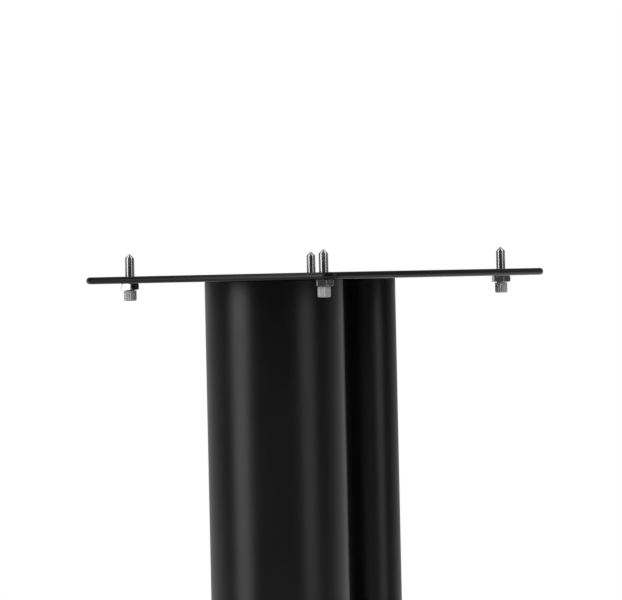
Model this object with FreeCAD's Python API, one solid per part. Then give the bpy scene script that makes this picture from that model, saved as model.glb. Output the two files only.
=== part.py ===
# Speaker stand: a steel top plate carried by two round columns on a wider base plate.
#
# Four pointed studs stand up through the top plate and carry the speaker. Each stands on a knurled
# grip under the plate that turns it, and a hexagon nut locks it against the plate. Four heavier
# studs point down through the base plate and stand on the floor, with their grips around them.
#
# Lengths are millimetres. +Z is up and the front is -Y. The origin lies on the floor, under the
# middle of both plates. Left and right are as seen from the front, so left is -X.
import FreeCAD, Part
import math
import os

# Top plate
top_plate_width = 200.0
top_plate_depth = 240.0
top_plate_thickness = 4.5
top_plate_corner_radius = 9.0
top_plate_height = 610.0  # floor to the plate's upper face
top_plate_edge_bevel = 1.2

# Base plate
base_plate_width = 260.0
base_plate_depth = 320.0
base_plate_thickness = 6.0
base_plate_corner_radius = 14.0
base_plate_edge_bevel = 1.5

# Columns
front_column_diameter = 88.9
front_column_wall = 2.0
rear_column_diameter = 42.4
rear_column_wall = 2.0
column_gap = 31.3  # clear space between the two tubes
column_pair_y = -10.0  # middle of the pair, front to back

# Discs welded into the ends of the tubes
end_disc_thickness = 8.0
weld_gap = 0.05  # radial, between a disc and its tube

# Four equal countersunk screws, one through each plate into each column's end disc
screw_diameter = 8.0
screw_head_diameter = 16.0
screw_length = 12.0
screw_hole_clearance = 0.2  # radial, in the plates

# Running clearance, radial, of a screw or stud in its tapped hole, nut or grip
thread_clearance = 0.05

# Clear height between a grip and its nut, so that either turns alone
grip_clearance = 0.3

# Top spikes
top_spike_diameter = 6.0
top_spike_point_angle = 90.0
top_spike_inset = 22.5  # from the plate's edges to the stud's axis
top_spike_height = 14.6  # point above the plate's upper face
top_nut_flats = 11.0
top_nut_thickness = 4.2
top_grip_diameter = 8.2
top_grip_height = 6.7
top_grip_bevel = 0.8
top_grip_ridges = 16
top_grip_ridge_depth = 0.35

# Floor spikes
floor_spike_diameter = 8.0
floor_spike_point_angle = 90.0
floor_spike_tip_radius = 0.8
floor_spike_inset = 24.0
floor_spike_length = 16.7  # from the grip's lower face to the point
floor_spike_stub = 8.0  # stud end above the base plate
floor_nut_flats = 13.0
floor_nut_thickness = 5.0
floor_grip_diameter = 14.0
floor_grip_height = 8.0
floor_grip_bevel = 1.0
floor_grip_ridges = 16
floor_grip_ridge_depth = 0.5

# Corners of both sizes of nut, bevelled at each face
nut_corner_bevel = 0.5
nut_bevel_angle = 30.0

# Heights that follow
top_plate_bottom = top_plate_height - top_plate_thickness
top_nut_bottom = top_plate_bottom - top_nut_thickness
top_grip_top = top_nut_bottom - grip_clearance
top_grip_bottom = top_grip_top - top_grip_height
floor_grip_top = floor_spike_length + floor_grip_height
floor_nut_bottom = floor_grip_top + grip_clearance
base_plate_bottom = floor_nut_bottom + floor_nut_thickness
base_plate_top = base_plate_bottom + base_plate_thickness

# Column places that follow
column_span = front_column_diameter + column_gap + rear_column_diameter
front_column_y = column_pair_y - column_span / 2 + front_column_diameter / 2
rear_column_y = column_pair_y + column_span / 2 - rear_column_diameter / 2
column_places = [front_column_y, rear_column_y]

Z_AXIS = FreeCAD.Vector(0, 0, 1)


def export(name, shape):
    """Writes one sub-part, or one group of equal solids, to its own file."""
    shape.exportStep(f"parts/{name}.step")


def cylinder(radius, z_low, z_high, x=0.0, y=0.0):
    return Part.makeCylinder(radius, z_high - z_low, FreeCAD.Vector(x, y, z_low), Z_AXIS)


def turned(profile):
    """Solid of revolution about Z from (radius, z) points listed around its half section."""
    points = [FreeCAD.Vector(radius, 0, z) for radius, z in profile]
    outline = Part.makePolygon(points + points[:1])
    return Part.Face(outline).revolve(FreeCAD.Vector(0, 0, 0), Z_AXIS, 360)


def level(outline, z):
    """A flat outline of (x, y) points, set at a height."""
    return [FreeCAD.Vector(x, y, z) for x, y in outline]


def flat_face(points):
    return Part.Face(Part.makePolygon(points + points[:1]))


def stacked(rings):
    """Solid with flat sides through level outlines of equal point counts, lowest first."""
    faces = [flat_face(rings[0]), flat_face(rings[-1])]
    for lower, upper in zip(rings, rings[1:]):
        for i in range(len(lower)):
            j = (i + 1) % len(lower)
            faces.append(flat_face([lower[i], lower[j], upper[j], upper[i]]))
    return Part.Solid(Part.Shell(faces))


def prism(outline, z_low, z_high):
    """Upright prism on a flat outline of (x, y) points."""
    return flat_face(level(outline, z_low)).extrude(FreeCAD.Vector(0, 0, z_high - z_low))


def polar(radius, angle):
    return radius * math.cos(angle), radius * math.sin(angle)


def hexagon(flats, turn=0.0):
    """Corners of a hexagon of the given width across its flats."""
    corner_radius = flats / 2 / math.cos(math.pi / 6)
    return [polar(corner_radius, math.pi / 3 * i + turn) for i in range(6)]


def upright_edges(shape):
    return [e for e in shape.Edges if e.BoundBox.ZLength > e.BoundBox.XLength + e.BoundBox.YLength]


def level_edges(shape):
    return [e for e in shape.Edges if e.BoundBox.ZLength < 1e-6]


def rounded_slab(width, depth, corner_radius, edge_bevel, z_low, z_high):
    """Flat plate with round corners and bevelled edges."""
    corner = FreeCAD.Vector(-width / 2, -depth / 2, z_low)
    slab = Part.makeBox(width, depth, z_high - z_low, corner)
    slab = slab.makeFillet(corner_radius, upright_edges(slab))
    return slab.makeChamfer(edge_bevel, level_edges(slab))


def spike_places(width, depth, inset):
    """(name, x, y) of the four corners that carry a spike."""
    x, y = width / 2 - inset, depth / 2 - inset
    return [
        ("front_left", -x, -y),
        ("front_right", x, -y),
        ("rear_left", -x, y),
        ("rear_right", x, y),
    ]


def placed(shape, x, y):
    copy = shape.copy()
    copy.translate(FreeCAD.Vector(x, y, 0))
    return copy


def countersink(outer_z, inner_z):
    """Hole for one screw through a plate, from its outer face to its inner one."""
    inward = 1 if inner_z > outer_z else -1
    hole_radius = screw_diameter / 2 + screw_hole_clearance
    head_radius = screw_head_diameter / 2 + screw_hole_clearance
    cone_end = outer_z + inward * (head_radius - hole_radius)
    cone = turned([(0, outer_z), (head_radius, outer_z), (hole_radius, cone_end), (0, cone_end)])
    return cone.fuse(cylinder(hole_radius, min(outer_z, inner_z), max(outer_z, inner_z)))


def plate_screw(outer_z, inward):
    """Countersunk screw whose head is level with the plate's outer face."""
    shank_radius = screw_diameter / 2
    head_radius = screw_head_diameter / 2
    cone_end = outer_z + inward * (head_radius - shank_radius)
    end = outer_z + inward * screw_length
    return turned(
        [(0, outer_z), (head_radius, outer_z), (shank_radius, cone_end), (shank_radius, end), (0, end)]
    )


def end_disc(disc_radius, z_low):
    """Disc inside a tube's end, with a tapped hole for its screw."""
    z_high = z_low + end_disc_thickness
    hole = cylinder(screw_diameter / 2 + thread_clearance, z_low, z_high)
    return cylinder(disc_radius, z_low, z_high).cut(hole)


def tube(radius, wall):
    outside = cylinder(radius, base_plate_top, top_plate_bottom)
    return outside.cut(cylinder(radius - wall, base_plate_top, top_plate_bottom))


def export_column(name, diameter, wall, y):
    """One tube and the two equal discs welded into its ends."""
    disc_radius = diameter / 2 - wall - weld_gap
    lower = end_disc(disc_radius, base_plate_top)
    upper = end_disc(disc_radius, top_plate_bottom - end_disc_thickness)
    export(name, placed(tube(diameter / 2, wall), 0, y))
    export(f"{name}_end_discs", placed(Part.makeCompound([lower, upper]), 0, y))


def export_screws():
    """All four screws, one at each end of each column."""
    screws = [plate_screw(top_plate_height, -1), plate_screw(base_plate_bottom, 1)]
    all_four = [placed(screw, 0, y) for screw in screws for y in column_places]
    export("plate_screws", Part.makeCompound(all_four))


def drilled(plate, outer_z, inner_z, stud_diameter, spikes):
    """A plate with a countersunk hole over each column and a tapped hole for each stud."""
    z_low, z_high = min(outer_z, inner_z), max(outer_z, inner_z)
    hole = countersink(outer_z, inner_z)
    tapped = cylinder(stud_diameter / 2 + thread_clearance, z_low, z_high)
    holes = [placed(hole, 0, y) for y in column_places] + [placed(tapped, x, y) for _, x, y in spikes]
    return plate.cut(holes)


def top_plate(spikes):
    plate = rounded_slab(
        top_plate_width,
        top_plate_depth,
        top_plate_corner_radius,
        top_plate_edge_bevel,
        top_plate_bottom,
        top_plate_height,
    )
    return drilled(plate, top_plate_height, top_plate_bottom, top_spike_diameter, spikes)


def base_plate(spikes):
    plate = rounded_slab(
        base_plate_width,
        base_plate_depth,
        base_plate_corner_radius,
        base_plate_edge_bevel,
        base_plate_bottom,
        base_plate_top,
    )
    return drilled(plate, base_plate_bottom, base_plate_top, floor_spike_diameter, spikes)


def point_height(stud_radius, tip_radius, angle):
    return (stud_radius - tip_radius) / math.tan(math.radians(angle / 2))


def top_spike():
    """Stud that points up from its grip, listed from its sharp point."""
    radius = top_spike_diameter / 2
    tip = top_plate_height + top_spike_height
    shoulder = tip - point_height(radius, 0, top_spike_point_angle)
    free_end = [(0, tip), (radius, shoulder), (radius, top_plate_height)]
    return turned(free_end + [(radius, top_grip_top), (0, top_grip_top)])


def floor_spike():
    """Stud that points down, listed from its blunt point. It ends above the base plate."""
    radius = floor_spike_diameter / 2
    shoulder = point_height(radius, floor_spike_tip_radius, floor_spike_point_angle)
    end = base_plate_top + floor_spike_stub
    free_end = [(0, 0), (floor_spike_tip_radius, 0), (radius, shoulder), (radius, floor_spike_length)]
    return turned(free_end + [(radius, end), (0, end)])


def hexagon_nut(flats, bore_radius, z_low, z_high):
    """Hexagon nut. A second hexagon, turned to face its corners, bevels them at both faces."""
    corner_radius = flats / 2 / math.cos(math.pi / 6)
    bevel_height = nut_corner_bevel * math.tan(math.radians(nut_bevel_angle))
    sections = [
        (corner_radius - nut_corner_bevel, z_low),
        (corner_radius, z_low + bevel_height),
        (corner_radius, z_high - bevel_height),
        (corner_radius - nut_corner_bevel, z_high),
    ]
    bevels = stacked([level(hexagon(2 * reach, math.pi / 6), z) for reach, z in sections])
    return prism(hexagon(flats), z_low, z_high).common(bevels).cut(cylinder(bore_radius, z_low, z_high))


def ridged_ring(radius, ridges, ridge_depth, shrink):
    """Outline of a grip: crests on the radius, valleys a ridge's depth inside it."""
    outline = []
    for i in range(2 * ridges):
        reach = radius if i % 2 == 0 else radius - ridge_depth
        outline.append(polar(reach * shrink, math.pi * i / ridges))
    return outline


def knurled_grip(diameter, ridges, ridge_depth, sections):
    """Round grip with straight ridges and no bore, through (shrink, z) sections."""
    return stacked([level(ridged_ring(diameter / 2, ridges, ridge_depth, size), z) for size, z in sections])


def export_sets(prefix, spikes, stud, nut, grip):
    for corner, x, y in spikes:
        export(f"{prefix}_spike_{corner}", placed(stud, x, y))
        export(f"{prefix}_nut_{corner}", placed(nut, x, y))
        export(f"{prefix}_grip_{corner}", placed(grip, x, y))


def export_top_spikes(spikes):
    """Studs that stand on solid grips, which are bevelled at their lower end."""
    bore_radius = top_spike_diameter / 2 + thread_clearance
    shrink = 1 - 2 * top_grip_bevel / top_grip_diameter
    sections = [(shrink, top_grip_bottom), (1, top_grip_bottom + top_grip_bevel), (1, top_grip_top)]
    grip = knurled_grip(top_grip_diameter, top_grip_ridges, top_grip_ridge_depth, sections)
    nut = hexagon_nut(top_nut_flats, bore_radius, top_nut_bottom, top_plate_bottom)
    export_sets("top", spikes, top_spike(), nut, grip)


def export_floor_spikes(spikes):
    """Studs that pass through their grips, which are bevelled at their lower end."""
    bore_radius = floor_spike_diameter / 2 + thread_clearance
    shrink = 1 - 2 * floor_grip_bevel / floor_grip_diameter
    sections = [(shrink, floor_spike_length), (1, floor_spike_length + floor_grip_bevel), (1, floor_grip_top)]
    grip = knurled_grip(floor_grip_diameter, floor_grip_ridges, floor_grip_ridge_depth, sections)
    grip = grip.cut(cylinder(bore_radius, floor_spike_length, floor_grip_top))
    nut = hexagon_nut(floor_nut_flats, bore_radius, floor_nut_bottom, base_plate_bottom)
    export_sets("floor", spikes, floor_spike(), nut, grip)


def main():
    os.makedirs("parts", exist_ok=True)
    top_spikes = spike_places(top_plate_width, top_plate_depth, top_spike_inset)
    floor_spikes = spike_places(base_plate_width, base_plate_depth, floor_spike_inset)
    export("top_plate", top_plate(top_spikes))
    export("base_plate", base_plate(floor_spikes))
    export_column("front_column", front_column_diameter, front_column_wall, front_column_y)
    export_column("rear_column", rear_column_diameter, rear_column_wall, rear_column_y)
    export_screws()
    export_top_spikes(top_spikes)
    export_floor_spikes(floor_spikes)


main()
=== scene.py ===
"""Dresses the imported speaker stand: coated plates and columns, threaded spikes, nuts, grips and screws."""
import math

import bmesh
import bpy
from bpy.props import BoolProperty, FloatProperty, FloatVectorProperty, IntProperty, PointerProperty
from bpy.types import Operator, Panel, PropertyGroup
from mathutils import Matrix, Vector


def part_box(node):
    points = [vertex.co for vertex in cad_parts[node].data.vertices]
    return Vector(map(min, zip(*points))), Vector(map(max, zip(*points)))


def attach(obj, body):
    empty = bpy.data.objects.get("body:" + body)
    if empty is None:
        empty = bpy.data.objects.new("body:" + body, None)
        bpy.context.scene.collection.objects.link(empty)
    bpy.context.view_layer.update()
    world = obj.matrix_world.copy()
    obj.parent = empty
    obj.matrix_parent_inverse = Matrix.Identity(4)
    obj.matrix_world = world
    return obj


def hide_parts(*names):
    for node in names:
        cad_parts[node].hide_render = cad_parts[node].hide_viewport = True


bl_info = {
    "name": "Speaker Stand",
    "version": (1, 0, 0),
    "blender": (4, 5, 0),
    "location": "3D View > Sidebar > Stand",
    "description": "Builds the visible pieces of a steel speaker stand over its frame",
    "category": "Object",
}

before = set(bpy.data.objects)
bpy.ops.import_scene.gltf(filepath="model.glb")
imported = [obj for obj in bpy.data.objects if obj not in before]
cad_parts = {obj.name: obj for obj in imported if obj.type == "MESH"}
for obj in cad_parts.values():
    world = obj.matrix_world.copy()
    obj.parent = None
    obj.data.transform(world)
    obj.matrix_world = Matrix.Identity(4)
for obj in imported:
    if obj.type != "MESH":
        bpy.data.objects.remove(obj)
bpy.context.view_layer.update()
CORNERS = ("front_left", "front_right", "rear_left", "rear_right")
COLUMNS = ("front_column", "rear_column")

FULL_TURN = 2 * math.pi
SIXTH_TURN = math.pi / 3
TWELFTH_TURN = math.pi / 6
UP = Vector((0.0, 0.0, 1.0))
WHITE = (1.0, 1.0, 1.0, 1.0)

# Fine measures in metres. A hold is a ring of points beside an edge, so that the face beyond it shades flat.
PLATE_HOLD = 0.0006
HOLE_HOLD = 0.0003
NUT_HOLDS = (0.00006, 0.00018)
STUD_BEVEL = 0.0004
BLUNT_STEP = 0.00003
GRIP_EDGE = 0.0003
GRIP_MIDDLE = 0.0012
SCREW_LENGTH = 0.012
SCREW_EDGE = 0.00025
SCREW_GROOVE = 0.00045
SCREW_END_BEVEL = 0.0005
SCREW_THREAD_START = 0.001
SCREW_THREAD_END = 0.0006
SOCKET_EDGE = 0.0003
SOCKET_FLOOR_EDGE = 0.0001
SOCKET_DRILL = 0.0004
FLOOR_GAP = 0.0002

# Shares
SHOULDER_SOFTENING = 0.015
BLUNT_FLARE = 0.12
NUT_FACE_SHARE = 0.985
NUT_CORNER_SHARE = 0.994
RIDGE_SHARPNESS = 1.6
THREAD_FADE = 1.2
SCREW_CREST = 0.3

# Facets
EDGE_STEPS = 6
TUBE_EDGE_STEPS = 4
TUBE_ROWS = 8
HOLE_SIDES = 64
STUD_SIDES = 60
STUD_ROWS_A_TURN = 10
POINT_ROWS = 6
TIP_ROWS = 4
GRIP_ROWS = 6
GRIP_SIDES_A_RIDGE = 10
SCREW_SIDES = 96
SCREW_ROWS_A_TURN = 8
FLOOR_SIDES = 128


# Settings


def length_setting(name, description, default, low, high, digits=5):
    """Setting for a length in metres."""
    return FloatProperty(
        name=name, description=description, default=default, min=low, max=high,
        unit="LENGTH", precision=digits,
    )


def angle_setting(name, description, degrees, low=-180.0, high=180.0):
    """Setting for an angle, whose default and limits are given in degrees."""
    return FloatProperty(
        name=name, description=description, default=math.radians(degrees),
        min=math.radians(low), max=math.radians(high), subtype="ANGLE",
    )


def number_setting(name, description, default, low=0.0, high=1.0):
    """Setting for a share, a brightness or another number without a unit."""
    return FloatProperty(name=name, description=description, default=default, min=low, max=high)


def count_setting(name, description, default, low, high):
    return IntProperty(name=name, description=description, default=default, min=low, max=high)


def colour_setting(name, description, *level):
    return FloatVectorProperty(
        name=name, description=description, subtype="COLOR", size=3, default=level, min=0.0, max=1.0,
    )


class PlateSettings(PropertyGroup):
    """Both plates."""

    top_edge: length_setting(
        "Top Plate Edge", "Radius of the top plate's edges", 0.0020, 0.0002, 0.0021,
    )
    base_edge: length_setting(
        "Base Plate Edge", "Radius of the base plate's edges", 0.0025, 0.0002, 0.0028,
    )
    top_corner: length_setting(
        "Top Plate Corner", "Radius of the top plate's corners, seen from above", 0.009, 0.003, 0.04,
    )
    base_corner: length_setting(
        "Base Plate Corner", "Radius of the base plate's corners, seen from above", 0.014, 0.004, 0.06,
    )
    hole_edge: length_setting(
        "Hole Edge", "Width of the broken edge round each hole", 0.00025, 0.0001, 0.001,
    )
    stud_clearance: length_setting(
        "Stud Clearance", "Room between a stud and its hole", 0.00005, 0.0, 0.0005,
    )
    screw_clearance: length_setting(
        "Screw Clearance", "Room between a screw and its countersunk hole", 0.0002, 0.0, 0.001,
    )


class ColumnSettings(PropertyGroup):
    """Both columns."""

    wall: length_setting("Wall", "Wall thickness of both tubes", 0.002, 0.001, 0.005)
    end_edge: length_setting(
        "End Edge", "Radius of a tube's outer edge at each end", 0.0005, 0.0001, 0.0009,
    )
    sides: count_setting("Sides", "Facets round a tube", 192, 48, 512)


class SpikeSettings(PropertyGroup):
    """Threaded studs with a turned point."""

    top_pitch: length_setting("Top Pitch", "Thread pitch of the top studs", 0.001, 0.0005, 0.002)
    floor_pitch: length_setting("Floor Pitch", "Thread pitch of the floor studs", 0.00125, 0.0005, 0.002)
    thread_depth: number_setting(
        "Thread Depth", "Depth of the rolled thread's grooves, as a share of the pitch", 0.07, 0.0, 0.6,
    )
    crest: number_setting("Crest", "Flat share of each thread turn", 0.5, 0.1, 0.8)
    point_angle: angle_setting("Point Angle", "Full angle of the turned point", 90, 30, 120)
    tip_radius: length_setting(
        "Tip Radius", "Rounding at the very end of a top point", 0.00012, 0.0, 0.001,
    )
    floor_tip_radius: length_setting(
        "Floor Tip", "Radius of the blunt end of a floor point", 0.0008, 0.0, 0.002,
    )


class NutSettings(PropertyGroup):
    """Hexagon nuts, bevelled by a cone at both faces."""

    bevel_angle: angle_setting("Bevel Angle", "Angle of the cone that bevels a nut's corners", 30, 10, 45)
    bevel_share: number_setting(
        "Bevel Start", "Where the cone meets the nut's face, as a share of half its flats", 0.99, 0.7, 1.1,
    )
    corner_radius: length_setting(
        "Corner Radius", "Rounding along the nut's upright edges", 0.0004, 0.00005, 0.001,
    )
    bore_bevel: length_setting("Bore Bevel", "Bevel at the mouth of the nut's bore", 0.0005, 0.0, 0.001)
    turn_front_left: angle_setting(
        "Front Left Turn", "How far the front left top nut stands turned", 11.5,
    )
    turn_front_right: angle_setting(
        "Front Right Turn", "How far the front right top nut stands turned", 22,
    )
    turn_rear_right: angle_setting(
        "Rear Right Turn", "How far the rear right top nut stands turned", 21,
    )
    turn_rear_left: angle_setting(
        "Rear Left Turn", "How far the rear left top nut stands turned", 11,
    )


class GripSettings(PropertyGroup):
    """Knurled round grips."""

    top_ridges: count_setting("Top Ridges", "Ridges round a top grip", 16, 6, 60)
    floor_ridges: count_setting("Floor Ridges", "Ridges round a floor grip", 16, 6, 60)
    top_ridge_depth: length_setting(
        "Top Ridge Depth", "Depth between the ridges of a top grip", 0.00035, 0.0, 0.001,
    )
    floor_ridge_depth: length_setting(
        "Floor Ridge Depth", "Depth between the ridges of a floor grip", 0.0005, 0.0, 0.001,
    )
    top_round: length_setting(
        "Top Grip Rounding", "Radius of a top grip's lower edge", 0.0011, 0.0002, 0.003,
    )
    floor_round: length_setting(
        "Floor Grip Rounding", "Radius of a floor grip's lower edge", 0.0012, 0.0002, 0.003,
    )


class ScrewSettings(PropertyGroup):
    """Countersunk screws with a hexagon socket."""

    socket_flats: length_setting("Socket Flats", "Width of the socket across its flats", 0.005, 0.002, 0.008)
    socket_depth: length_setting("Socket Depth", "Depth of the socket", 0.003, 0.001, 0.004)
    shank_radius: length_setting("Shank Radius", "Half the screw's thread size", 0.004, 0.002, 0.006)
    thread_pitch: length_setting("Thread Pitch", "Thread pitch of the screws", 0.00125, 0.0005, 0.002)


class FinishSettings(PropertyGroup):
    """Colours of the finishes."""

    coat: colour_setting("Coat", "Satin black powder coat", 0.0022, 0.0022, 0.0024)
    coat_worn: colour_setting("Coat Fleck", "Paler flecks in the powder coat", 0.007, 0.007, 0.0074)
    spike: colour_setting("Spike Steel", "Bright plated steel of the spikes", 0.66, 0.66, 0.665)
    nut: colour_setting("Nut Zinc", "Bright zinc plating of the nuts", 0.74, 0.745, 0.75)
    grip: colour_setting("Grip Steel", "Dull knurled steel of the grips", 0.80, 0.80, 0.805)
    screw: colour_setting("Screw Oxide", "Black oxide of the plate screws", 0.022, 0.022, 0.024)
    disc: colour_setting("Bare Steel", "Bare welded steel inside the tubes", 0.40, 0.39, 0.38)
    dust: colour_setting("Dust", "Fine dust on level surfaces", 0.22, 0.215, 0.205)
    floor: colour_setting("Floor", "Pale studio floor", 0.66, 0.66, 0.66)


class StudioSettings(PropertyGroup):
    """Camera, lamps and floor."""

    camera_turn: angle_setting(
        "Camera Turn", "Where the camera stands, turned from the stand's front", 36.617,
    )
    camera_distance: length_setting(
        "Camera Distance", "From the middle of the top plate", 3.1, 1.0, 20.0, 3,
    )
    camera_drop: length_setting(
        "Camera Drop", "Camera height below the top plate's upper face", 0.00406, -1.0, 1.0,
    )
    camera_swing: angle_setting("Camera Swing", "How far the camera looks aside of the stand", 0.082)
    camera_dip: angle_setting("Camera Dip", "How far the camera looks down", 0.252)
    camera_roll: angle_setting("Camera Roll", "How far the picture leans", 1.23)
    camera_lens: number_setting("Camera Lens", "Focal length in millimetres", 276.5, 20.0, 2000.0)
    left_level: number_setting("Left Lamp", "Brightness of the soft lamp on the left", 2.05, 0.0, 20.0)
    right_level: number_setting("Right Lamp", "Brightness of the soft lamp on the right", 0.98, 0.0, 20.0)
    high_level: number_setting(
        "High Lamps", "Brightness of the two lamps high above the stand's sides", 1.6, 0.0, 20.0,
    )
    fill_level: number_setting(
        "Fill Lamps", "Brightness of the four lamps round the stand that gloss doesn't show", 2.8, 0.0, 20.0,
    )
    room_front: number_setting("Room Front", "Brightness of the room on the camera's side", 0.05)
    room_back: number_setting("Room Back", "Brightness of the room on the backdrop's side", 0.55)
    show_floor: BoolProperty(name="Floor", description="Lay the pale floor under the stand", default=True)


# Meshes


def shaped_ring(reach, z, sides, centre):
    """Level ring of points. reach gives each point's distance from the middle at its turn."""
    points = []
    for i in range(sides):
        turn = FULL_TURN * i / sides
        out = reach(turn)
        points.append(Vector((centre[0] + out * math.cos(turn), centre[1] + out * math.sin(turn), z)))
    return points


def ring(radius, z, sides, centre=(0.0, 0.0)):
    return shaped_ring(lambda turn: radius, z, sides, centre)


def bridge(bm, lower, upper):
    """Quads between two closed rings of equal counts."""
    count = len(lower)
    for i in range(count):
        j = (i + 1) % count
        bm.faces.new((lower[i], lower[j], upper[j], upper[i]))


def skin(bm, rings, cap_start=False, cap_end=False):
    """Closed walls through rings of points, with an optional flat cap at either end."""
    made = [[bm.verts.new(point) for point in points] for points in rings]
    for lower, upper in zip(made, made[1:]):
        bridge(bm, lower, upper)
    if cap_start:
        bm.faces.new(made[0][::-1])
    if cap_end:
        bm.faces.new(made[-1])
    return made


def fill_between(bm, loops, upwards):
    """Flat face between an outer ring and the rings inside it."""
    edges = [bm.edges.get(ends) for loop in loops for ends in zip(loop, loop[1:] + loop[:1])]
    normal = (0, 0, 1 if upwards else -1)
    made = bmesh.ops.triangle_fill(bm, use_beauty=True, edges=edges, normal=normal)
    for face in [part for part in made["geom"] if isinstance(part, bmesh.types.BMFace)]:
        face.normal_update()
        if (face.normal.z > 0) != upwards:
            face.normal_flip()


def finished_object(bm, name, material, sharp_angle=35.0):
    """Turns the mesh into a smooth-shaded piece whose real edges stay crisp."""
    bmesh.ops.recalc_face_normals(bm, faces=bm.faces)
    mesh = bpy.data.meshes.new(name)
    bm.to_mesh(mesh)
    bm.free()
    mesh.materials.append(material)
    mesh.shade_smooth()
    mesh.set_sharp_from_angle(angle=math.radians(sharp_angle))
    piece = bpy.data.objects.new(name, mesh)
    bpy.context.scene.collection.objects.link(piece)
    return piece


def dress(piece, body, slot, *nodes):
    """Ties a piece to its body and hides the nodes that it stands for. The slot is not used."""
    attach(piece, body)
    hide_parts(*nodes)


def upright(node):
    """Radius, middle, lower and upper height of a node that is round about an upright axis."""
    low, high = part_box(node)
    return (high.x - low.x) / 2, ((low + high) / 2).xy, low.z, high.z


def arc_steps(radius, steps):
    """(inward, upward) steps of a quarter round, from its wall to its flat."""
    turns = [math.pi / 2 * i / steps for i in range(steps + 1)]
    return [(radius * (1 - math.cos(t)), radius * math.sin(t)) for t in turns]


def rounded_rectangle(half_x, half_y, radius, z, steps=12):
    points = []
    for k, (sx, sy) in enumerate(((1, 1), (-1, 1), (-1, -1), (1, -1))):
        for i in range(steps + 1):
            turn = math.pi / 2 * (k + i / steps)
            x = sx * (half_x - radius) + radius * math.cos(turn)
            y = sy * (half_y - radius) + radius * math.sin(turn)
            points.append(Vector((x, y, z)))
    return points


def plate_mesh(low, high, corner, edge, holes):
    """Flat plate with rounded edges. Each hole is (middle, [(radius, z), ...]) from the lower face up."""
    half_x, half_y = (high.x - low.x) / 2, (high.y - low.y) / 2
    rounding = arc_steps(edge, EDGE_STEPS)
    profile = [(edge + PLATE_HOLD, low.z)]
    profile += [(step, low.z + edge - rise) for step, rise in reversed(rounding)]
    profile += [(step, high.z - edge + rise) for step, rise in rounding]
    profile += [(edge + PLATE_HOLD, high.z)]
    bm = bmesh.new()
    walls = [[rounded_rectangle(half_x - inset, half_y - inset, corner - inset, z) for inset, z in profile]]
    walls += [[ring(radius, z, HOLE_SIDES, middle) for radius, z in wall] for middle, wall in holes]
    made = [skin(bm, rings) for rings in walls]
    fill_between(bm, [rings[0] for rings in made], False)
    fill_between(bm, [rings[-1] for rings in made], True)
    return bm


def plain_hole(middle, radius, low_z, high_z, edge):
    mouth = radius + edge
    wall = [
        (mouth + HOLE_HOLD, low_z), (mouth, low_z), (radius, low_z + edge),
        (radius, high_z - edge), (mouth, high_z), (mouth + HOLE_HOLD, high_z),
    ]
    return middle, wall


def countersunk_hole(middle, hole, head, outer_z, inner_z, edge):
    """Hole for a screw whose head lies level with the outer face."""
    inward = 1 if inner_z > outer_z else -1
    wall = [
        (head + edge + HOLE_HOLD, outer_z), (head + edge, outer_z), (head, outer_z + inward * edge),
        (hole, outer_z + inward * (head - hole)), (hole, inner_z - inward * edge),
        (hole + edge, inner_z), (hole + edge + HOLE_HOLD, inner_z),
    ]
    return middle, wall[::inward]


def stud_holes(prefix, low_z, high_z, settings):
    holes = []
    for corner in CORNERS:
        radius, middle = upright(f"{prefix}_spike_{corner}")[:2]
        holes.append(plain_hole(middle, radius + settings.stud_clearance, low_z, high_z, settings.hole_edge))
    return holes


def screw_holes(outer_z, inner_z, scene):
    settings = scene.stand_plates
    hole = scene.stand_screws.shank_radius + settings.screw_clearance
    head = upright("plate_screws")[0] + settings.screw_clearance
    middles = [upright(column)[1] for column in COLUMNS]
    return [countersunk_hole(place, hole, head, outer_z, inner_z, settings.hole_edge) for place in middles]


def tube_mesh(node, wall, edge, sides):
    """Round tube with softened outer edges at both ends."""
    radius, centre, low_z, high_z = upright(node)
    rounding = arc_steps(edge, TUBE_EDGE_STEPS)
    outline = [(radius - wall, low_z)]
    outline += [(radius - step, low_z + edge - rise) for step, rise in reversed(rounding)]
    outline += [(radius, low_z + (high_z - low_z) * i / TUBE_ROWS) for i in range(1, TUBE_ROWS)]
    outline += [(radius - step, high_z - edge + rise) for step, rise in rounding]
    outline += [(radius - wall, high_z)]
    bm = bmesh.new()
    made = skin(bm, [ring(reach, z, sides, centre) for reach, z in outline])
    bridge(bm, made[-1], made[0])
    return bm


def groove(phase, crest):
    """Depth of a thread groove, 0 on the crest and 1 at its root, over one turn of the phase."""
    phase %= 1.0
    if phase < crest:
        return 0.0
    along = (phase - crest) / (1 - crest)
    return 0.5 - 0.5 * math.cos(FULL_TURN * along)


def stud_mesh(radius, centre, foot, shoulder, pitch, settings, point):
    """Threaded stud between two heights, with a point past its shoulder. It may point up or down."""
    up = 1 if shoulder > foot else -1
    length = abs(shoulder - foot)
    rows = max(12, round(length / pitch * STUD_ROWS_A_TURN))
    fade = THREAD_FADE * pitch
    rings = []
    for k in range(rows + 1):
        run = length * k / rows
        depth = pitch * settings.thread_depth * min(1.0, run / fade, (length - run) / fade)
        outside = radius - max(0.0, STUD_BEVEL - run)
        rings.append(shaped_ring(
            lambda turn: outside - groove(run / pitch - up * turn / FULL_TURN, settings.crest) * depth,
            foot + up * run, STUD_SIDES, centre,
        ))
    rings += [ring(reach, z, STUD_SIDES, centre) for reach, z in point]
    bm = bmesh.new()
    skin(bm, rings, cap_start=True, cap_end=True)
    return bm


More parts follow.
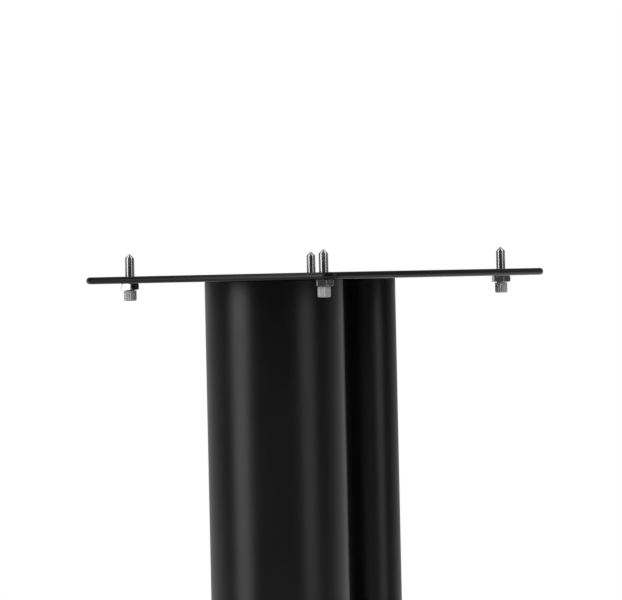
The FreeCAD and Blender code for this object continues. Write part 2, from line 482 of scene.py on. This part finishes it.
def point_rings(radius, shoulder, end, angle, tip_radius, blunt):
    """(radius, z) rings of a turned point, from its softened shoulder to its end."""
    up = 1 if end > shoulder else -1
    first_r = radius * (1 - SHOULDER_SOFTENING)
    first_z = shoulder + up * radius * SHOULDER_SOFTENING / math.tan(angle / 2) * 2
    if blunt:
        ends = [
            (tip_radius * (1 + BLUNT_FLARE), end - up * tip_radius * BLUNT_FLARE),
            (tip_radius * 0.98, end - up * BLUNT_STEP), (tip_radius * 0.9, end),
        ]
    else:
        reach = tip_radius * math.cos(angle / 2)
        rise = tip_radius * (1 - math.sin(angle / 2))
        shares = [1 - i / TIP_ROWS for i in range(TIP_ROWS)]
        ends = [(reach * share, end - up * rise * share ** 2) for share in shares]
    last_r, last_z = ends[0]
    shares = [i / POINT_ROWS for i in range(POINT_ROWS)]
    cone = [(first_r + (last_r - first_r) * share, first_z + (last_z - first_z) * share) for share in shares]
    return cone + ends


def rounded_hexagon(flats, corner_radius, turn, side_steps=10, corner_steps=5):
    """Hexagon outline with rounded corners, counted round its middle."""
    inner = (flats / 2 - corner_radius) / math.cos(TWELFTH_TURN)

    def corner_point(k, lean):
        """Point on a corner's arc. lean runs from -0.5 to 0.5 across it."""
        middle = turn + SIXTH_TURN * k
        around = middle + SIXTH_TURN * lean
        return Vector((
            inner * math.cos(middle) + corner_radius * math.cos(around),
            inner * math.sin(middle) + corner_radius * math.sin(around),
        ))

    points = []
    for k in range(6):
        points += [corner_point(k, i / corner_steps - 0.5) for i in range(corner_steps + 1)]
        start, end = points[-1], corner_point(k + 1, -0.5)
        points += [start.lerp(end, i / side_steps) for i in range(1, side_steps)]
    return points


def nut_mesh(flats, bore, low_z, high_z, turn, centre, settings):
    """Hexagon nut whose corners are cut by a cone at each face, so that each flat ends in an arc."""
    outline = rounded_hexagon(flats, settings.corner_radius, turn)
    start = flats / 2 * settings.bevel_share
    slope = math.tan(settings.bevel_angle)

    def placed(point, z):
        return Vector((centre[0] + point.x, centre[1] + point.y, z))

    def level(reach, z):
        return [placed(point.normalized() * reach, z) for point in outline]

    def wall(face_z, inward, hold):
        """Ring where the cone meets the flats, or a hold ring on the flats past it."""
        narrow = 1.0 if hold else NUT_CORNER_SHARE
        cuts = [max(0.0, point.length - start) * slope for point in outline]
        return [placed(point * narrow, face_z + inward * (cut + hold)) for point, cut in zip(outline, cuts)]

    def half(face_z, inward):
        """Rings of one face, from the bore out to the flats."""
        bevel = settings.bore_bevel
        rings = [level(bore, face_z + inward * bevel)]
        rings += [level(reach, face_z) for reach in (bore + bevel, start * NUT_FACE_SHARE, start)]
        return rings + [wall(face_z, inward, hold) for hold in (0.0, *NUT_HOLDS)]

    bm = bmesh.new()
    made = skin(bm, half(low_z, 1) + half(high_z, -1)[::-1])
    bridge(bm, made[-1], made[0])
    return bm


def grip_mesh(node, ridges, depth, rounding, bore):
    """Round grip whose straight ridges run out in its rounded lower edge. Without a bore it is closed."""
    radius, centre, low_z, high_z = upright(node)
    sides = ridges * GRIP_SIDES_A_RIDGE
    start = low_z + rounding
    rows = [(step, start - rise) for step, rise in reversed(arc_steps(rounding, EDGE_STEPS))]
    rows += [(0.0, start + (high_z - start) * i / GRIP_ROWS) for i in range(1, GRIP_ROWS)]
    rows += [(0.0, high_z - GRIP_EDGE), (0.6 * GRIP_EDGE, high_z - 0.2 * GRIP_EDGE), (GRIP_EDGE, high_z)]
    rings = []
    for inset, z in rows:
        deep = depth * (1.0 - min(1.0, inset / rounding))
        rings.append(shaped_ring(
            lambda turn: radius - inset - deep * (0.5 - 0.5 * math.cos(ridges * turn)) ** RIDGE_SHARPNESS,
            z, sides, centre,
        ))
    mouth = bore + GRIP_EDGE if bore else GRIP_MIDDLE
    rings = [ring(mouth, low_z, sides, centre), *rings, ring(mouth, high_z, sides, centre)]
    if bore:
        low_end, high_end = [ring(bore, z, sides, centre) for z in (low_z + GRIP_EDGE, high_z - GRIP_EDGE)]
        rings = [low_end, *rings, high_end]
    bm = bmesh.new()
    made = skin(bm, rings, cap_start=not bore, cap_end=not bore)
    if bore:
        bridge(bm, made[-1], made[0])
    return bm


def screw_rings(settings, head, outer_z, inward, centre):
    """One countersunk screw from the floor of its socket, over its head and down its thread."""
    corner = settings.socket_flats / 2 / math.cos(TWELFTH_TURN)
    depth, shank, pitch = settings.socket_depth, settings.shank_radius, settings.thread_pitch

    def circle(radius, run):
        return ring(radius, outer_z + inward * run, SCREW_SIDES, centre)

    def hexagon(grow, run):
        def reach(turn):
            off = (turn + TWELFTH_TURN) % SIXTH_TURN - TWELFTH_TURN
            return (corner + grow) * math.cos(TWELFTH_TURN) / math.cos(abs(off) - TWELFTH_TURN)
        return shaped_ring(reach, outer_z + inward * run, SCREW_SIDES, centre)

    rings = [
        circle(SOCKET_DRILL, depth + 2 * SOCKET_DRILL),
        hexagon(-SOCKET_FLOOR_EDGE, depth), hexagon(0.0, depth - 2 * SOCKET_FLOOR_EDGE),
        hexagon(0.0, SOCKET_EDGE), hexagon(SOCKET_EDGE, 0.0), hexagon(2 * SOCKET_EDGE, 0.0),
        circle(head - 2 * SCREW_EDGE, 0.0), circle(head - SCREW_EDGE, 0.0),
        circle(head - 0.3 * SCREW_EDGE, 0.3 * SCREW_EDGE), circle(head - SCREW_EDGE, SCREW_EDGE),
        circle(shank, head - shank),
    ]
    length = SCREW_LENGTH - (head - shank)
    rows = round(length / pitch * SCREW_ROWS_A_TURN)
    for k in range(1, rows + 1):
        run = length * k / rows
        deep = SCREW_GROOVE * min(1.0, run / SCREW_THREAD_START, (length - run) / SCREW_THREAD_END)
        outside = shank - max(0.0, run - length + SCREW_END_BEVEL)
        rings.append(shaped_ring(
            lambda turn: outside - groove(run / pitch - turn / FULL_TURN, SCREW_CREST) * deep,
            outer_z + inward * (head - shank + run), SCREW_SIDES, centre,
        ))
    return rings


# Shader groups


def new_group(name, inputs, outputs):
    """Shader group with number sockets. Returns the group, its input node and its output node."""
    group = bpy.data.node_groups.new(name, "ShaderNodeTree")
    for title, default in inputs.items():
        socket = group.interface.new_socket(name=title, in_out="INPUT", socket_type="NodeSocketFloat")
        socket.default_value = default
    for title in outputs:
        group.interface.new_socket(name=title, in_out="OUTPUT", socket_type="NodeSocketFloat")
    return group, group.nodes.new("NodeGroupInput"), group.nodes.new("NodeGroupOutput")


def feed(tree, socket, value):
    """Gives a socket a number, or the output of another node."""
    if isinstance(value, bpy.types.NodeSocket):
        tree.links.new(value, socket)
    else:
        socket.default_value = value


def math_node(tree, operation, first, second, clamp=False):
    node = tree.nodes.new("ShaderNodeMath")
    node.operation = operation
    node.use_clamp = clamp
    feed(tree, node.inputs[0], first)
    feed(tree, node.inputs[1], second)
    return node.outputs[0]


def vector_node(tree, operation, first, second=None):
    node = tree.nodes.new("ShaderNodeVectorMath")
    node.operation = operation
    feed(tree, node.inputs[0], first)
    if second is not None:
        feed(tree, node.inputs[1], second)
    return node.outputs["Value"]


def noise_node(tree, vector, scale, detail, roughness=0.5):
    node = tree.nodes.new("ShaderNodeTexNoise")
    values = {"Vector": vector, "Scale": scale, "Detail": detail, "Roughness": roughness}
    for title, value in values.items():
        feed(tree, node.inputs[title], value)
    return node.outputs["Fac"]


def spread(tree, value, low, high, to_low=0.0, to_high=1.0):
    """Stretches the range from low to high over the range from to_low to to_high."""
    node = tree.nodes.new("ShaderNodeMapRange")
    node.clamp = True
    for socket, number in zip(node.inputs[:5], (value, low, high, to_low, to_high)):
        feed(tree, socket, number)
    return node.outputs[0]


def object_place(tree):
    return tree.nodes.new("ShaderNodeTexCoord").outputs["Object"]


def end_group(group, start, end, cloud, low, high, **outputs):
    """Links a group's outputs. Its roughness follows a cloud between the two gloss values."""
    gloss = start.outputs["Gloss Low"], start.outputs["Gloss High"]
    group.links.new(spread(group, cloud, low, high, *gloss), end.inputs["Roughness"])
    for title, value in outputs.items():
        group.links.new(value, end.inputs[title])
    return group


def powder_group():
    """Fine orange peel of sprayed powder, with a sparse pattern of paler flecks."""
    inputs = {"Scale": 900.0, "Gloss Low": 0.28, "Gloss High": 0.36}
    group, start, end = new_group("powder_surface", inputs, ("Fleck", "Roughness", "Height"))
    place, scale = object_place(group), start.outputs["Scale"]
    peel = noise_node(group, place, scale, 2.0, 0.45)
    fine = noise_node(group, place, math_node(group, "MULTIPLY", scale, 4.3), 1.0)
    broad = noise_node(group, place, 14.0, 3.0, 0.6)
    height = math_node(group, "ADD", peel, math_node(group, "MULTIPLY", fine, 0.25))
    fleck = spread(group, fine, 0.66, 0.78)
    return end_group(group, start, end, broad, 0.3, 0.7, Fleck=fleck, Height=height)


def turned_group():
    """Fine marks round an upright axis, as a lathe or a die leaves them, with a soft cloud over them."""
    inputs = {"Rings": 5200.0, "Gloss Low": 0.12, "Gloss High": 0.24}
    group, start, end = new_group("turned_marks", inputs, ("Mask", "Roughness", "Height"))
    place = object_place(group)
    stretch = group.nodes.new("ShaderNodeMapping")
    stretch.inputs["Scale"].default_value = (0.02, 0.02, 1.0)
    group.links.new(place, stretch.inputs["Vector"])
    marks = noise_node(group, stretch.outputs["Vector"], start.outputs["Rings"], 3.0, 0.6)
    cloud = noise_node(group, place, 260.0, 3.0, 0.55)
    return end_group(group, start, end, cloud, 0.3, 0.7, Mask=spread(group, marks, 0.35, 0.7), Height=marks)


def plating_group():
    """Spangle and small stains of plated or bare steel."""
    inputs = {"Scale": 700.0, "Gloss Low": 0.16, "Gloss High": 0.3}
    group, start, end = new_group("plated_surface", inputs, ("Mask", "Roughness", "Height"))
    place, scale = object_place(group), start.outputs["Scale"]
    spangle = group.nodes.new("ShaderNodeTexVoronoi")
    spangle.feature = "F1"
    group.links.new(place, spangle.inputs["Vector"])
    group.links.new(scale, spangle.inputs["Scale"])
    fine = noise_node(group, place, math_node(group, "MULTIPLY", scale, 2.5), 3.0, 0.6)
    mixed = math_node(group, "ADD", math_node(group, "MULTIPLY", spangle.outputs["Distance"], 0.4), fine)
    return end_group(group, start, end, mixed, 0.4, 1.0, Mask=spread(group, fine, 0.35, 0.72), Height=fine)


def dust_group():
    """Thin dust that settles on surfaces which face up."""
    group, start, end = new_group("settled_dust", {"Amount": 0.12, "Scale": 240.0}, ("Mask",))
    geometry = group.nodes.new("ShaderNodeNewGeometry")
    facing = group.nodes.new("ShaderNodeSeparateXYZ")
    group.links.new(geometry.outputs["Normal"], facing.inputs[0])
    place = object_place(group)
    upward = spread(group, facing.outputs["Z"], 0.75, 0.98)
    specks = spread(group, noise_node(group, place, start.outputs["Scale"], 6.0, 0.7), 0.42, 0.72)
    drift = math_node(group, "ADD", noise_node(group, place, 9.0, 2.0), 0.4)
    lying = math_node(group, "MULTIPLY", upward, specks)
    settled = math_node(group, "MULTIPLY", lying, start.outputs["Amount"])
    group.links.new(math_node(group, "MULTIPLY", settled, drift), end.inputs["Mask"])
    return group


GROUP_MAKERS = {
    "powder_surface": powder_group,
    "turned_marks": turned_group,
    "plated_surface": plating_group,
    "settled_dust": dust_group,
}


# Materials


def group_node(tree, name, **values):
    """Places a shared shader group in a material, with the material's own values."""
    node = tree.nodes.new("ShaderNodeGroup")
    node.node_tree = bpy.data.node_groups.get(name) or GROUP_MAKERS[name]()
    for title, value in values.items():
        node.inputs[title.replace("_", " ")].default_value = value
    return node.outputs


def mix_colours(tree, mask, first, second):
    """Mixes two colours, each a linked socket or three numbers."""
    node = tree.nodes.new("ShaderNodeMix")
    node.data_type = "RGBA"
    tree.links.new(mask, node.inputs["Factor"])
    for socket, value in ((node.inputs[6], first), (node.inputs[7], second)):
        feed(tree, socket, value if isinstance(value, bpy.types.NodeSocket) else (*value, 1.0))
    return node.outputs[2]


def new_material(name, colour):
    material = bpy.data.materials.new(name)
    material.use_nodes = True
    material.diffuse_color = (*colour, 1.0)
    return material, material.node_tree, material.node_tree.nodes["Principled BSDF"]


def bump(tree, height, shader, strength, distance):
    node = tree.nodes.new("ShaderNodeBump")
    node.inputs["Strength"].default_value = strength
    node.inputs["Distance"].default_value = distance
    tree.links.new(height, node.inputs["Height"])
    tree.links.new(node.outputs["Normal"], shader.inputs["Normal"])


def coat_material(name, finish, gloss_low, gloss_high, dust_amount):
    """Satin black powder coat."""
    if name in bpy.data.materials:
        return bpy.data.materials[name]
    material, tree, shader = new_material(name, finish.coat)
    powder = group_node(tree, "powder_surface", Scale=850.0, Gloss_Low=gloss_low, Gloss_High=gloss_high)
    dust = group_node(tree, "settled_dust", Amount=dust_amount, Scale=260.0)["Mask"]
    flecked = mix_colours(tree, powder["Fleck"], finish.coat, finish.coat_worn)
    tree.links.new(mix_colours(tree, dust, flecked, finish.dust), shader.inputs["Base Color"])
    dulled = math_node(tree, "MULTIPLY", dust, 0.5)
    rough = math_node(tree, "ADD", powder["Roughness"], dulled, clamp=True)
    tree.links.new(rough, shader.inputs["Roughness"])
    bump(tree, powder["Height"], shader, 0.22, 0.00012)
    shader.inputs["IOR"].default_value = 1.5
    return material


def plate_material(finish):
    return coat_material("plate_powder", finish, 0.24, 0.33, 0.16)


def column_material(finish):
    return coat_material("column_powder", finish, 0.29, 0.35, 0.0)


def metal_material(name, colour, marks_name, dark, depth, distance, metallic=1.0, dust=None, **values):
    """Metal whose marks come from a shared group. dark is the share of the colour that is left in them."""
    if name in bpy.data.materials:
        return bpy.data.materials[name]
    material, tree, shader = new_material(name, colour)
    marks = group_node(tree, marks_name, **values)
    look = mix_colours(tree, marks["Mask"], [channel * dark for channel in colour], colour)
    if dust:
        settled = group_node(tree, "settled_dust", Amount=0.1, Scale=500.0)
        look = mix_colours(tree, settled["Mask"], look, dust)
    tree.links.new(look, shader.inputs["Base Color"])
    tree.links.new(marks["Roughness"], shader.inputs["Roughness"])
    bump(tree, marks["Height"], shader, depth, distance)
    shader.inputs["Metallic"].default_value = metallic
    return material


def spike_material(finish):
    return metal_material(
        "turned_spike", finish.spike, "turned_marks", 0.86, 0.06, 0.00004,
        Rings=5200.0, Gloss_Low=0.10, Gloss_High=0.20,
    )


def nut_material(finish):
    return metal_material(
        "plated_nut", finish.nut, "plated_surface", 0.88, 0.05, 0.00004,
        Scale=900.0, Gloss_Low=0.10, Gloss_High=0.19,
    )


def grip_material(finish):
    return metal_material(
        "knurled_grip", finish.grip, "plated_surface", 0.74, 0.12, 0.00005, 0.85,
        Scale=1500.0, Gloss_Low=0.42, Gloss_High=0.56,
    )


def disc_material(finish):
    return metal_material(
        "welded_disc", finish.disc, "turned_marks", 0.6, 0.2, 0.00008,
        Rings=900.0, Gloss_Low=0.35, Gloss_High=0.60,
    )


def screw_material(finish):
    """Black oxide, oily and slightly mottled, with dust on it."""
    return metal_material(
        "oxide_screw", finish.screw, "plated_surface", 0.55, 0.2, 0.00006, 0.35, finish.dust,
        Scale=1100.0, Gloss_Low=0.26, Gloss_High=0.44,
    )


# Pieces


def build_plate(context, node, prefix, corner, edge, screws_above):
    """One plate. Its screws lie in the upper face or in the lower one."""
    low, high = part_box(node)
    outer_z, inner_z = (high.z, low.z) if screws_above else (low.z, high.z)
    holes = stud_holes(prefix, low.z, high.z, context.scene.stand_plates)
    holes += screw_holes(outer_z, inner_z, context.scene)
    bm = plate_mesh(low, high, corner, edge, holes)
    material = plate_material(context.scene.stand_finishes)
    dress(finished_object(bm, f"coated_{node}", material), "stand", "plate_coat", node)


class STAND_OT_top_plate(Operator):
    """Build the coated top plate with its tapped and countersunk holes"""

    bl_idname = "stand.top_plate"
    bl_label = "Top Plate"

    def execute(self, context):
        settings = context.scene.stand_plates
        build_plate(context, "top_plate", "top", settings.top_corner, settings.top_edge, True)
        return {"FINISHED"}


class STAND_OT_base_plate(Operator):
    """Build the coated base plate, countersunk from below"""

    bl_idname = "stand.base_plate"
    bl_label = "Base Plate"

    def execute(self, context):
        settings = context.scene.stand_plates
        build_plate(context, "base_plate", "floor", settings.base_corner, settings.base_edge, False)
        return {"FINISHED"}


class STAND_OT_columns(Operator):
    """Build both coated columns"""

    bl_idname = "stand.columns"
    bl_label = "Columns"

    def execute(self, context):
        settings = context.scene.stand_columns
        material = column_material(context.scene.stand_finishes)
        for node in COLUMNS:
            bm = tube_mesh(node, settings.wall, settings.end_edge, settings.sides)
            dress(finished_object(bm, f"coated_{node}", material), "stand", "column_coat", node)
        return {"FINISHED"}


class STAND_OT_end_discs(Operator):
    """Give the welded end discs inside the columns their bare steel"""

    bl_idname = "stand.end_discs"
    bl_label = "End Discs"

    def execute(self, context):
        material = disc_material(context.scene.stand_finishes)
        for column in COLUMNS:
            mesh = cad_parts[f"{column}_end_discs"].data
            mesh.materials.clear()
            mesh.materials.append(material)
        return {"FINISHED"}


class STAND_OT_plate_screws(Operator):
    """Build the four countersunk screws with their hexagon sockets"""

    bl_idname = "stand.plate_screws"
    bl_label = "Plate Screws"

    def execute(self, context):
        settings = context.scene.stand_screws
        head, _, low_z, high_z = upright("plate_screws")
        bm = bmesh.new()
        for column in COLUMNS:
            centre = upright(column)[1]
            for outer_z, inward in ((high_z, -1), (low_z, 1)):
                skin(bm, screw_rings(settings, head, outer_z, inward, centre), True, True)
        material = screw_material(context.scene.stand_finishes)
        dress(finished_object(bm, "socket_screws", material, 30.0), "stand", "black_screw", "plate_screws")
        return {"FINISHED"}


def build_spikes(context, prefix, pitch, blunt):
    """Four spikes. The blunt ones point down, the sharp ones up."""
    settings = context.scene.stand_spikes
    material = spike_material(context.scene.stand_finishes)
    for corner in CORNERS:
        node = f"{prefix}_spike_{corner}"
        radius, centre, low_z, high_z = upright(node)
        foot, end, up = (high_z, low_z, -1) if blunt else (low_z, high_z, 1)
        flat = settings.floor_tip_radius if blunt else 0.0
        shoulder = end - up * (radius - flat) / math.tan(settings.point_angle / 2)
        rounding = settings.floor_tip_radius if blunt else settings.tip_radius
        point = point_rings(radius, shoulder, end, settings.point_angle, rounding, blunt)
        bm = stud_mesh(radius, centre, foot, shoulder, pitch, settings, point)
        dress(finished_object(bm, f"threaded_{node}", material, 50.0), node, "spike_steel", node)


class STAND_OT_top_spikes(Operator):
    """Build the four spikes that carry the speaker"""

    bl_idname = "stand.top_spikes"
    bl_label = "Top Spikes"

    def execute(self, context):
        build_spikes(context, "top", context.scene.stand_spikes.top_pitch, False)
        return {"FINISHED"}


class STAND_OT_floor_spikes(Operator):
    """Build the four spikes that stand on the floor"""

    bl_idname = "stand.floor_spikes"
    bl_label = "Floor Spikes"

    def execute(self, context):
        build_spikes(context, "floor", context.scene.stand_spikes.floor_pitch, True)
        return {"FINISHED"}


def stud_bore(context, prefix, corner):
    """Radius of the bore round a corner's stud."""
    return upright(f"{prefix}_spike_{corner}")[0] + context.scene.stand_plates.stud_clearance


def build_nuts(context, prefix, turns):
    """Four nuts, each turned by its own angle."""
    material = nut_material(context.scene.stand_finishes)
    for corner, turn in turns.items():
        node = f"{prefix}_nut_{corner}"
        low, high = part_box(node)
        centre = upright(node)[1]
        bore = stud_bore(context, prefix, corner)
        bm = nut_mesh(high.y - low.y, bore, low.z, high.z, turn, centre, context.scene.stand_nuts)
        dress(finished_object(bm, f"zinc_{node}", material, 28.0), node, "nut_zinc", node)


class STAND_OT_top_nuts(Operator):
    """Build the four lock nuts under the top plate, each turned as it was left"""

    bl_idname = "stand.top_nuts"
    bl_label = "Top Nuts"

    def execute(self, context):
        settings = context.scene.stand_nuts
        build_nuts(context, "top", {corner: getattr(settings, f"turn_{corner}") for corner in CORNERS})
        return {"FINISHED"}


class STAND_OT_floor_nuts(Operator):
    """Build the four lock nuts under the base plate"""

    bl_idname = "stand.floor_nuts"
    bl_label = "Floor Nuts"

    def execute(self, context):
        build_nuts(context, "floor", dict.fromkeys(CORNERS, 0.0))
        return {"FINISHED"}


def build_grips(context, prefix, through):
    """Four grips. The stud goes through them or stands on them."""
    settings = context.scene.stand_grips
    ridges, depth, rounding = [
        getattr(settings, f"{prefix}_{part}") for part in ("ridges", "ridge_depth", "round")
    ]
    material = grip_material(context.scene.stand_finishes)
    for corner in CORNERS:
        node = f"{prefix}_grip_{corner}"
        bore = stud_bore(context, prefix, corner) if through else 0.0
        bm = grip_mesh(node, ridges, depth, rounding, bore)
        dress(finished_object(bm, f"knurled_{node}", material, 50.0), node, "grip_steel", node)


class STAND_OT_top_grips(Operator):
    """Build the four knurled grips of the top spikes"""

    bl_idname = "stand.top_grips"
    bl_label = "Top Grips"

    def execute(self, context):
        build_grips(context, "top", False)
        return {"FINISHED"}


class STAND_OT_floor_grips(Operator):
    """Build the four knurled grips of the floor spikes"""

    bl_idname = "stand.floor_grips"
    bl_label = "Floor Grips"

    def execute(self, context):
        build_grips(context, "floor", True)
        return {"FINISHED"}


# Studio

# Name, turn from the camera in degrees, distance, height, width and length of the lamp, its level's
# setting, the height it aims at, and whether gloss shows it
LAMPS = (
    ("left_lamp", -60, 2.6, 1.0, 1.3, 2.4, "left_level", 0.45, True),
    ("right_lamp", 53, 2.6, 1.0, 1.1, 2.4, "right_level", 0.45, True),
    ("high_left", -104, 1.15, 2.7, 0.9, 1.0, "high_level", 0.6, True),
    ("high_right", 104, 1.15, 2.7, 0.9, 1.0, "high_level", 0.6, True),
    ("front_fill", 0, 3.0, 1.2, 1.8, 1.8, "fill_level", 0.45, False),
    ("left_fill", -110, 3.0, 1.2, 1.8, 1.8, "fill_level", 0.45, False),
    ("rear_fill", 180, 3.0, 1.2, 1.8, 1.8, "fill_level", 0.45, False),
    ("right_fill", 110, 3.0, 1.2, 1.8, 1.8, "fill_level", 0.45, False),
)
FLOOR_RINGS = (0.05, 0.4, 0.8, 1.6, 3.2, 4.2)


def towards(turn):
    """Level direction from the stand at a turn from its front."""
    return Vector((math.sin(turn), -math.cos(turn), 0.0))


def add_camera(context, settings):
    eye_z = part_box("top_plate")[1].z - settings.camera_drop
    place = Vector((0.0, 0.0, eye_z)) + towards(settings.camera_turn) * settings.camera_distance
    level = -towards(settings.camera_turn + settings.camera_swing)
    side = Vector((level.y, -level.x, 0.0))
    dip, roll = settings.camera_dip, settings.camera_roll
    look = level * math.cos(dip) - UP * math.sin(dip)
    over = UP * math.cos(dip) + level * math.sin(dip)
    right = side * math.cos(roll) - over * math.sin(roll)
    up = side * math.sin(roll) + over * math.cos(roll)
    data = bpy.data.cameras.new("photo_camera")
    data.lens = settings.camera_lens
    data.sensor_width = 36.0
    data.clip_start, data.clip_end = 0.05, 100.0
    camera = bpy.data.objects.new("photo_camera", data)
    camera.matrix_world = Matrix.Translation(place) @ Matrix((right, up, -look)).transposed().to_4x4()
    context.scene.collection.objects.link(camera)
    context.scene.camera = camera


def add_lamp(context, name, turn, distance, height, width, tall, level, aim_z, glossy):
    """Soft rectangular lamp whose surface has the given brightness, where 1 is white."""
    data = bpy.data.lights.new(name, "AREA")
    data.shape = "RECTANGLE"
    data.size, data.size_y = width, tall
    data.energy = level * math.pi * width * tall
    lamp = bpy.data.objects.new(name, data)
    place = towards(turn) * distance + UP * height
    look = UP * aim_z - place
    lamp.matrix_world = Matrix.Translation(place) @ look.to_track_quat("-Z", "Y").to_matrix().to_4x4()
    lamp.visible_camera = False
    lamp.visible_glossy = glossy
    context.scene.collection.objects.link(lamp)


def seen_directly(tree, path):
    """1 for rays that show the backdrop to the camera, straight or through glass."""
    return math_node(tree, "MAXIMUM", path["Is Camera Ray"], path["Is Transmission Ray"])


def add_room(context, settings):
    """White to the camera. In gloss, pale behind the stand and dim on the camera's side."""
    world = bpy.data.worlds.new("studio_room")
    world.use_nodes = True
    tree = world.node_tree
    place = tree.nodes.new("ShaderNodeTexCoord").outputs["Generated"]
    back = vector_node(tree, "DOT_PRODUCT", place, -towards(settings.camera_turn))
    split = tree.nodes.new("ShaderNodeSeparateXYZ")
    tree.links.new(place, split.inputs[0])
    height = split.outputs["Z"]
    behind = spread(tree, back, 0.0, 1.0, settings.room_front, settings.room_back)
    behind = math_node(tree, "MULTIPLY", behind, spread(tree, height, 0.15, 0.55, 1.0, 0.3))
    above = spread(tree, height, 0.35, 0.95, 0.0, 0.05)
    direct = seen_directly(tree, tree.nodes.new("ShaderNodeLightPath").outputs)
    level = math_node(tree, "MAXIMUM", math_node(tree, "ADD", behind, above), direct)
    background = tree.nodes["Background"]
    tree.links.new(level, background.inputs["Strength"])
    background.inputs["Color"].default_value = WHITE
    context.scene.world = world


def floor_material(finish, away):
    """Pale paper that turns white towards the camera and keeps the stand's shadow. Open from below."""
    material, tree, shader = new_material("studio_floor", finish.floor)
    path = tree.nodes.new("ShaderNodeLightPath").outputs
    place = object_place(tree)
    grain = noise_node(tree, place, 60.0, 6.0, 0.6)
    shade = [channel * 0.97 for channel in finish.floor]
    tree.links.new(mix_colours(tree, grain, shade, finish.floor), shader.inputs["Base Color"])
    shader.inputs["Roughness"].default_value = 0.9
    shader.inputs["Specular IOR Level"].default_value = 0.2
    outer = spread(tree, vector_node(tree, "LENGTH", place), 0.7, 1.9, 0.5, 1.0)
    behind = spread(tree, vector_node(tree, "DOT_PRODUCT", place, away), 0.2, 1.4, 0.0, 0.6)
    shown = math_node(tree, "MULTIPLY", seen_directly(tree, path), outer)
    glowing = math_node(tree, "MULTIPLY", path["Is Glossy Ray"], behind)
    tree.links.new(math_node(tree, "ADD", shown, glowing), shader.inputs["Emission Strength"])
    shader.inputs["Emission Color"].default_value = WHITE
    sides = tree.nodes.new("ShaderNodeNewGeometry")
    tree.links.new(math_node(tree, "SUBTRACT", 1.0, sides.outputs["Backfacing"]), shader.inputs["Alpha"])
    bump(tree, grain, shader, 0.1, 0.0005)
    return material


def add_floor(context):
    bm = bmesh.new()
    skin(bm, [ring(radius, 0.0, FLOOR_SIDES) for radius in FLOOR_RINGS], cap_start=True)
    away = -towards(context.scene.stand_studio.camera_turn)
    floor = finished_object(bm, "studio_floor", floor_material(context.scene.stand_finishes, away))
    floor.location.z = -FLOOR_GAP
    if floor.data.polygons[0].normal.z < 0:
        floor.data.flip_normals()


class STAND_OT_studio(Operator):
    """Set up the camera, the soft lamps, the white room and the pale floor"""

    bl_idname = "stand.studio"
    bl_label = "Studio"

    def execute(self, context):
        settings = context.scene.stand_studio
        add_camera(context, settings)
        for name, swing, distance, height, width, tall, level, aim_z, glossy in LAMPS:
            turn = settings.camera_turn + math.radians(swing)
            level = getattr(settings, level)
            add_lamp(context, name, turn, distance, height, width, tall, level, aim_z, glossy)
        add_room(context, settings)
        if settings.show_floor:
            add_floor(context)
        context.scene.view_settings.view_transform = "Standard"
        return {"FINISHED"}


PIECE_OPERATORS = (
    STAND_OT_top_plate,
    STAND_OT_base_plate,
    STAND_OT_columns,
    STAND_OT_end_discs,
    STAND_OT_plate_screws,
    STAND_OT_top_spikes,
    STAND_OT_top_nuts,
    STAND_OT_top_grips,
    STAND_OT_floor_spikes,
    STAND_OT_floor_nuts,
    STAND_OT_floor_grips,
    STAND_OT_studio,
)

SETTINGS = {
    "stand_plates": PlateSettings,
    "stand_columns": ColumnSettings,
    "stand_spikes": SpikeSettings,
    "stand_nuts": NutSettings,
    "stand_grips": GripSettings,
    "stand_screws": ScrewSettings,
    "stand_finishes": FinishSettings,
    "stand_studio": StudioSettings,
}


class STAND_PT_pieces(Panel):
    """Lists the operators and the settings they read"""

    bl_idname = "STAND_PT_pieces"
    bl_label = "Speaker Stand"
    bl_space_type = "VIEW_3D"
    bl_region_type = "UI"
    bl_category = "Stand"

    def draw(self, context):
        column = self.layout.column(align=True)
        for operator in PIECE_OPERATORS:
            column.operator(operator.bl_idname)
        for name in SETTINGS:
            box = self.layout.box()
            box.label(text=name.replace("_", " ").title())
            group = getattr(context.scene, name)
            for key in group.__annotations__:
                box.prop(group, key)


CLASSES = (*SETTINGS.values(), *PIECE_OPERATORS, STAND_PT_pieces)


def register():
    for made in CLASSES:
        bpy.utils.register_class(made)
    for name, settings in SETTINGS.items():
        setattr(bpy.types.Scene, name, PointerProperty(type=settings))


def unregister():
    for name in SETTINGS:
        delattr(bpy.types.Scene, name)
    for made in reversed(CLASSES):
        bpy.utils.unregister_class(made)


def main():
    register()
    for operator in PIECE_OPERATORS:
        name = operator.bl_idname.split(".")[1]
        getattr(bpy.ops.stand, name)()


if __name__ == "__main__":
    main()
